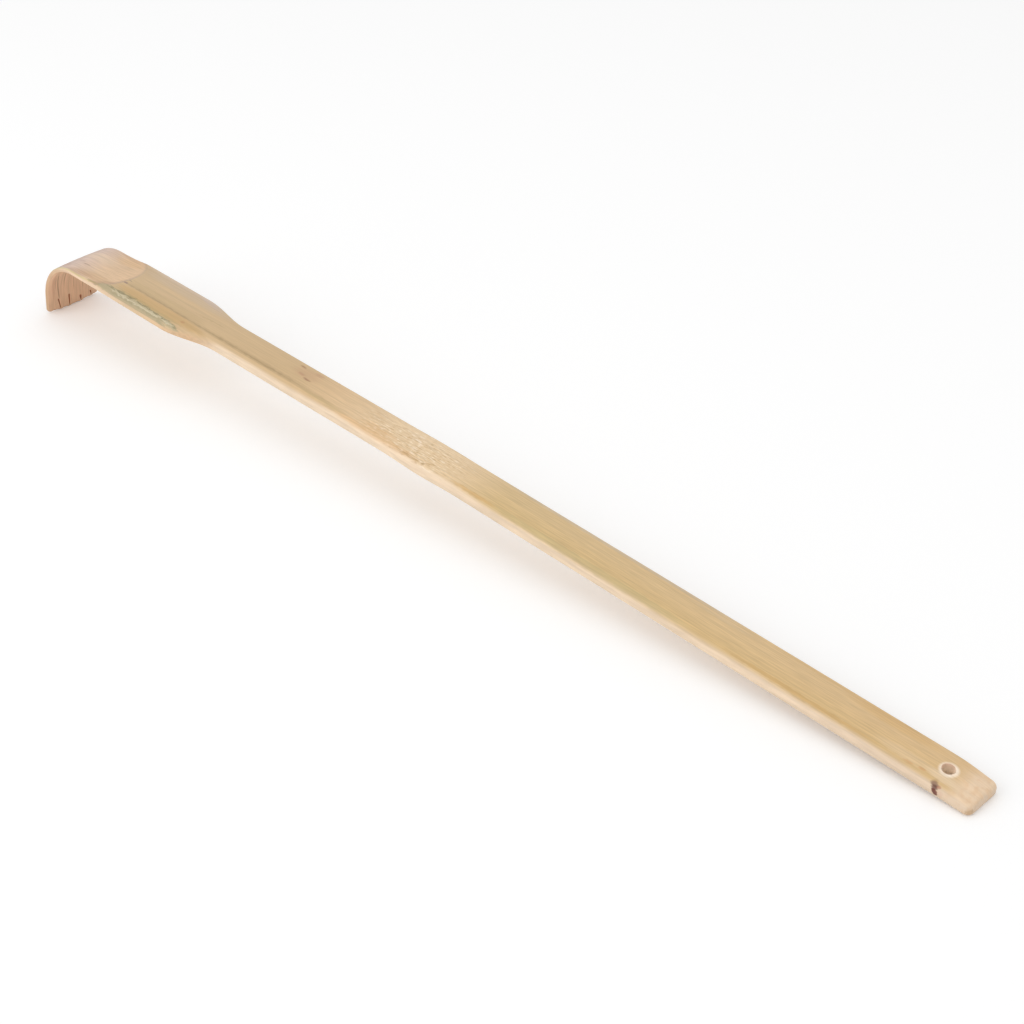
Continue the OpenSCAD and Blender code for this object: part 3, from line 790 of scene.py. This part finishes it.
    # fibre ends at the culm node: pale and brown dashes
    zone = {"along": along, "across": across, "shown": onTop, **dict(zip(markInputs, bamboo["nodeZone"]))}
    atNode = addNode(tree, "ShaderNodeGroup", zone, node_tree=markGroup)
    for name, tone in bamboo["fibreEnds"].items():
        dashes = addNode(tree, "ShaderNodeMapRange", {0: clouds["dash"], **ranges[name]})
        share = addNode(tree, "ShaderNodeMath", {0: dashes, 1: atNode}, operation="MULTIPLY")
        layers.append((share, hexColour(tone)))

    # the dark streak, on the skin only
    aside = addNode(tree, "ShaderNodeMath", {0: ragged["skin"], 1: streakLine}, operation="SUBTRACT")
    apart = addNode(tree, "ShaderNodeMath", {0: aside}, operation="ABSOLUTE")
    skinStreak = addNode(tree, "ShaderNodeMath", {0: streakStrength, 1: onTop}, operation="MULTIPLY")
    for widthShare, strengthShare in bamboo["streakLayers"]:
        reach = addNode(tree, "ShaderNodeMath", {0: streakWidth, 1: widthShare}, operation="MULTIPLY")
        most = addNode(tree, "ShaderNodeMath", {0: skinStreak, 1: strengthShare}, operation="MULTIPLY")
        fade = {0: apart, 1: 0.0, 2: reach, 3: most, 4: 0.0}
        share = addNode(tree, "ShaderNodeMapRange", fade, **smooth)
        layers.append((share, hexColour(bamboo["streakTone"])))

    # soft dark line where the scoop bites into the skin, stronger on the near half
    line = addNode(tree, "ShaderNodeMapRange", {0: sandDepth, **ranges["bite"]}, **smooth)
    healed = addNode(tree, "ShaderNodeMapRange", {0: sandDepth, **ranges["healed"]}, **smooth)
    nearBite = addNode(tree, "ShaderNodeMapRange", {0: wavyAcross, **ranges["nearBite"]})
    atScoop = addNode(tree, "ShaderNodeMath", {0: along, 1: bamboo["scoopFrom"]}, operation="GREATER_THAN")
    for part in (healed, nearBite, atScoop, onTop):
        line = addNode(tree, "ShaderNodeMath", {0: line, 1: part}, operation="MULTIPLY")
    layers.append((line, hexColour(bamboo["biteTone"])))

    # the strip's own marks
    broken = addNode(tree, "ShaderNodeMapRange", {0: clouds["dash"], **ranges["broken"]})
    brokenTop = addNode(tree, "ShaderNodeMath", {0: broken, 1: onTop}, operation="MULTIPLY")
    places = {
        "skinMarks": {"along": along, "across": ragged["skin"], "shown": onTop},
        "greenMarks": {"along": along, "across": ragged["green"], "shown": brokenTop},
        "sideMarks": {"along": deep, "across": ragged["side"], "shown": onNearSide},
        "innerMarks": {"along": along, "across": wavyAcross, "shown": onUnder},
    }
    for name, place in places.items():
        for *oval, tone, strength in bamboo[name]:
            mark = {**place, **dict(zip(markInputs, oval + [strength]))}
            share = addNode(tree, "ShaderNodeGroup", mark, node_tree=markGroup)
            layers.append((share, hexColour(tone)))

    # painted shade on the walls in the saw cuts, clear of the sides and the tips
    flank = addNode(tree, "ShaderNodeMath", {0: facing}, operation="ABSOLUTE")
    sawn = addNode(tree, "ShaderNodeMapRange", {0: flank, **ranges["sawn"]})
    cuts = {"along": along, "across": across, "shown": sawn, **dict(zip(markInputs, bamboo["cutShadeZone"]))}
    paintedCutShade = addNode(tree, "ShaderNodeGroup", cuts, node_tree=markGroup)
    layers.append((paintedCutShade, hexColour(bamboo["cutShadeTone"])))

    # pale sanded wood round the hole and painted light on the wall inside it, browner just below the rim
    holeS, holeY = strip["holeAt"]
    patchy = addNode(tree, "ShaderNodeMapRange", {0: clouds["mottle"], **ranges["patchy"]})
    belowRim = addNode(tree, "ShaderNodeMapRange", {0: deep, **ranges["belowRim"]})
    for shown, (shift, reach, soft, tone, strength) in zip((patchy, belowRim), bamboo["holeRimAndPaintedLight"]):
        size = strip["holeRadius"] + reach
        oval = (holeS + shift, holeY + shift, size, size, 0.0, 2.0, soft, strength)
        ring = {"along": along, "across": across, "shown": shown, **dict(zip(markInputs, oval))}
        share = addNode(tree, "ShaderNodeGroup", ring, node_tree=markGroup)
        layers.append((share, hexColour(tone)))

    colour = tones["skinTones"]
    for share, tone in layers:
        colour = addNode(tree, "ShaderNodeMix", {0: share, 6: colour, 7: tone}, out=2, data_type="RGBA")

    # light and dark along the fibres, rubbed out towards the sanded end
    bare = addNode(tree, "ShaderNodeMath", {0: sanded, 1: onEdge}, operation="MAXIMUM")
    smoother = addNode(tree, "ShaderNodeMapRange", {0: along, **ranges["smoother"]})
    fleckShare = addNode(tree, "ShaderNodeMath", {0: smoother, 1: bare}, operation="MAXIMUM")
    contrast = {}
    for name in ("fleck", "fibre", "streak"):
        contrast[name] = addNode(tree, "ShaderNodeMapRange", {0: clouds[name], **ranges[name]})
    lines = {0: contrast["fleck"], 1: fleckShare, 2: contrast["fibre"]}
    light = addNode(tree, "ShaderNodeMath", lines, operation="MULTIPLY_ADD")
    rubbed = addNode(tree, "ShaderNodeMapRange", {0: along, **ranges["rubbed"]})
    light = addNode(tree, "ShaderNodeMath", {0: light, 1: rubbed, 2: 1.0}, operation="MULTIPLY_ADD")
    light = addNode(tree, "ShaderNodeMath", {0: light, 1: contrast["streak"]}, operation="MULTIPLY")
    colour = addNode(tree, "ShaderNodeVectorMath", {0: colour, "Scale": light}, operation="SCALE")

    # sheen and relief
    sheen = addNode(tree, "ShaderNodeMapRange", {0: bare, 3: bamboo["skinSheen"], 4: bamboo["cutSheen"]})
    uneven = {0: clouds["fibre"], 1: bamboo["fibreSheen"], 2: sheen}
    rough = addNode(tree, "ShaderNodeMath", uneven, operation="MULTIPLY_ADD")
    raised = addNode(tree, "ShaderNodeMath", {0: clouds["fibre"], 1: rubbed}, operation="MULTIPLY")
    bumps = {"Strength": bamboo["reliefStrength"], "Distance": bamboo["relief"] / 1000, "Height": raised}
    relief = addNode(tree, "ShaderNodeBump", bumps)
    surface = {"Base Color": colour, "Roughness": rough, "Normal": relief, "IOR": bamboo["ior"]}
    shader = addNode(tree, "ShaderNodeBsdfPrincipled", surface)
    addNode(tree, "ShaderNodeOutputMaterial", {"Surface": shader})
    print("bamboo mixed:", len(tree.nodes), "nodes")
    return material


def makeStrip():
    piece = bpy.data.objects.new("bambooStrip", makeBlank())
    bpy.context.scene.collection.objects.link(piece)
    tree = makeStripTree()
    values = {
        "curlFrom": -(strip["bendFrom"] + bendLength) / 1000,
        "clawLength": strip["clawLength"] / 1000,
        "clawCurl": math.radians(strip["clawCurl"]),
        "bendFrom": -strip["bendFrom"] / 1000,
        "bendLength": bendLength / 1000,
        "bendAngle": math.radians(strip["bendAngle"]),
        "lipCrest": -lipDrop / 1000,
        "nodeFrom": -strip["nodeFrom"] / 1000,
        "nodeLength": (strip["nodeTo"] - strip["nodeFrom"]) / 1000,
        "nodeTurn": math.radians(strip["nodeTurn"]),
        "skinCrest": 0.0,
        "restPlace": [c / 1000 for c in strip["restPlace"]],
        "restTurn": [0.0, math.radians(strip["restTilt"]), 0.0],
        "bamboo": makeBamboo(),
    }
    shaping = piece.modifiers.new("shapeStrip", "NODES")
    shaping.node_group = tree
    for item in tree.interface.items_tree:
        if item.in_out == "INPUT" and item.name in values:
            shaping[item.identifier] = values[item.name]
    graph = bpy.context.evaluated_depsgraph_get()
    shaped = piece.evaluated_get(graph)
    mesh = bpy.data.meshes.new_from_object(shaped, preserve_all_data_layers=True, depsgraph=graph)
    piece.modifiers.remove(shaping)
    piece.data = mesh
    mesh.name = "bambooStrip"
    print("strip bent:", len(mesh.vertices), "points")
    return piece


bambooStrip = makeStrip()
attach(bambooStrip, "root")
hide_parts("hanging_end", "grip", "culm_node", "shaft", "neck", "blade", "bend", "claw")


# Plain white sweep with soft light from all round, a large lamp overhead and a smaller one in front.
studio = {
    "around": 0.7,
    # name, place and size in m, power in W
    "lamps": [("overheadLamp", (0.2, 0.15, 1.4), 2.0, 4.2), ("frontLamp", (-0.5, -1.2, 0.8), 1.4, 6.5)],
    "floor": "#f7f7f7",
    "floorLift": 0.12,  # for the camera only, so that the lit floor is white and the shadow stays
    "floorSize": 6.0,
    "floorGap": 0.0001,  # below the strip
}


# 1 for a ray that the camera sees, straight or reflected, and 0 for one that only lights
def raysSeen(tree):
    path = tree.nodes.new("ShaderNodeLightPath").outputs
    seen = path["Is Camera Ray"]
    for name in ("Is Glossy Ray", "Is Transmission Ray"):
        seen = addNode(tree, "ShaderNodeMath", {0: seen, 1: path[name]}, operation="MAXIMUM")
    return seen


def makeStudio():
    scene = bpy.context.scene
    world = bpy.data.worlds.new("whiteSweep")
    scene.world = world
    world.use_nodes = True
    tree = world.node_tree
    tree.nodes.clear()
    level = addNode(tree, "ShaderNodeMapRange", {0: raysSeen(tree), 3: studio["around"], 4: 1.0})
    sky = addNode(tree, "ShaderNodeBackground", {"Color": (1, 1, 1, 1), "Strength": level})
    addNode(tree, "ShaderNodeOutputWorld", {"Surface": sky})

    half = studio["floorSize"] / 2
    low = cadBox[0][2] - studio["floorGap"]
    corners = [(-half, -half, low), (half, -half, low), (half, half, low), (-half, half, low)]
    mesh = bpy.data.meshes.new("floor")
    mesh.from_pydata(corners, [], [(0, 1, 2, 3)])
    floor = bpy.data.objects.new("floor", mesh)
    scene.collection.objects.link(floor)
    paint = bpy.data.materials.new("whitePaper")
    paint.use_nodes = True
    tree = paint.node_tree
    tree.nodes.clear()
    lift = addNode(tree, "ShaderNodeMath", {0: raysSeen(tree), 1: studio["floorLift"]}, operation="MULTIPLY")
    matt = addNode(tree, "ShaderNodeBsdfDiffuse", {"Color": hexColour(studio["floor"])})
    glow = addNode(tree, "ShaderNodeEmission", {"Color": (1, 1, 1, 1), "Strength": lift})
    paper = addNode(tree, "ShaderNodeAddShader", {0: matt, 1: glow})
    addNode(tree, "ShaderNodeOutputMaterial", {"Surface": paper})
    mesh.materials.append(paint)

    for name, place, size, power in studio["lamps"]:
        lamp = bpy.data.lights.new(name, "AREA")
        lamp.shape = "DISK"
        lamp.size = size
        lamp.energy = power
        light = bpy.data.objects.new(name, lamp)
        aim = Vector(place).to_track_quat("Z", "Y").to_matrix().to_4x4()
        light.matrix_world = Matrix.Translation(place) @ aim
        scene.collection.objects.link(light)
    scene.view_settings.view_transform = "Standard"
    print("studio lit")


# from above the near side of the handle, looking along the strip to the claw
view = {
    "place": (0.438958, -0.409750, 0.411829),  # m
    "yaw": 44.6323,
    "pitch": 34.6087,
    "roll": -1.0183,
    "lens": 70.441,  # mm, as is the sensor
    "sensor": 36.0,
    "nearClip": 0.01,
}


def makeCamera():
    data = bpy.data.cameras.new("photoView")
    data.sensor_width = view["sensor"]
    data.lens = view["lens"]
    data.clip_start = view["nearClip"]
    camera = bpy.data.objects.new("photoView", data)
    turn = Matrix.Rotation(math.radians(view["yaw"]), 4, "Z")
    turn = turn @ Matrix.Rotation(math.radians(90 - view["pitch"]), 4, "X")
    turn = turn @ Matrix.Rotation(math.radians(view["roll"]), 4, "Z")
    camera.matrix_world = Matrix.Translation(view["place"]) @ turn
    bpy.context.scene.collection.objects.link(camera)
    bpy.context.scene.camera = camera
    print("camera set")


makeStudio()
makeCamera()
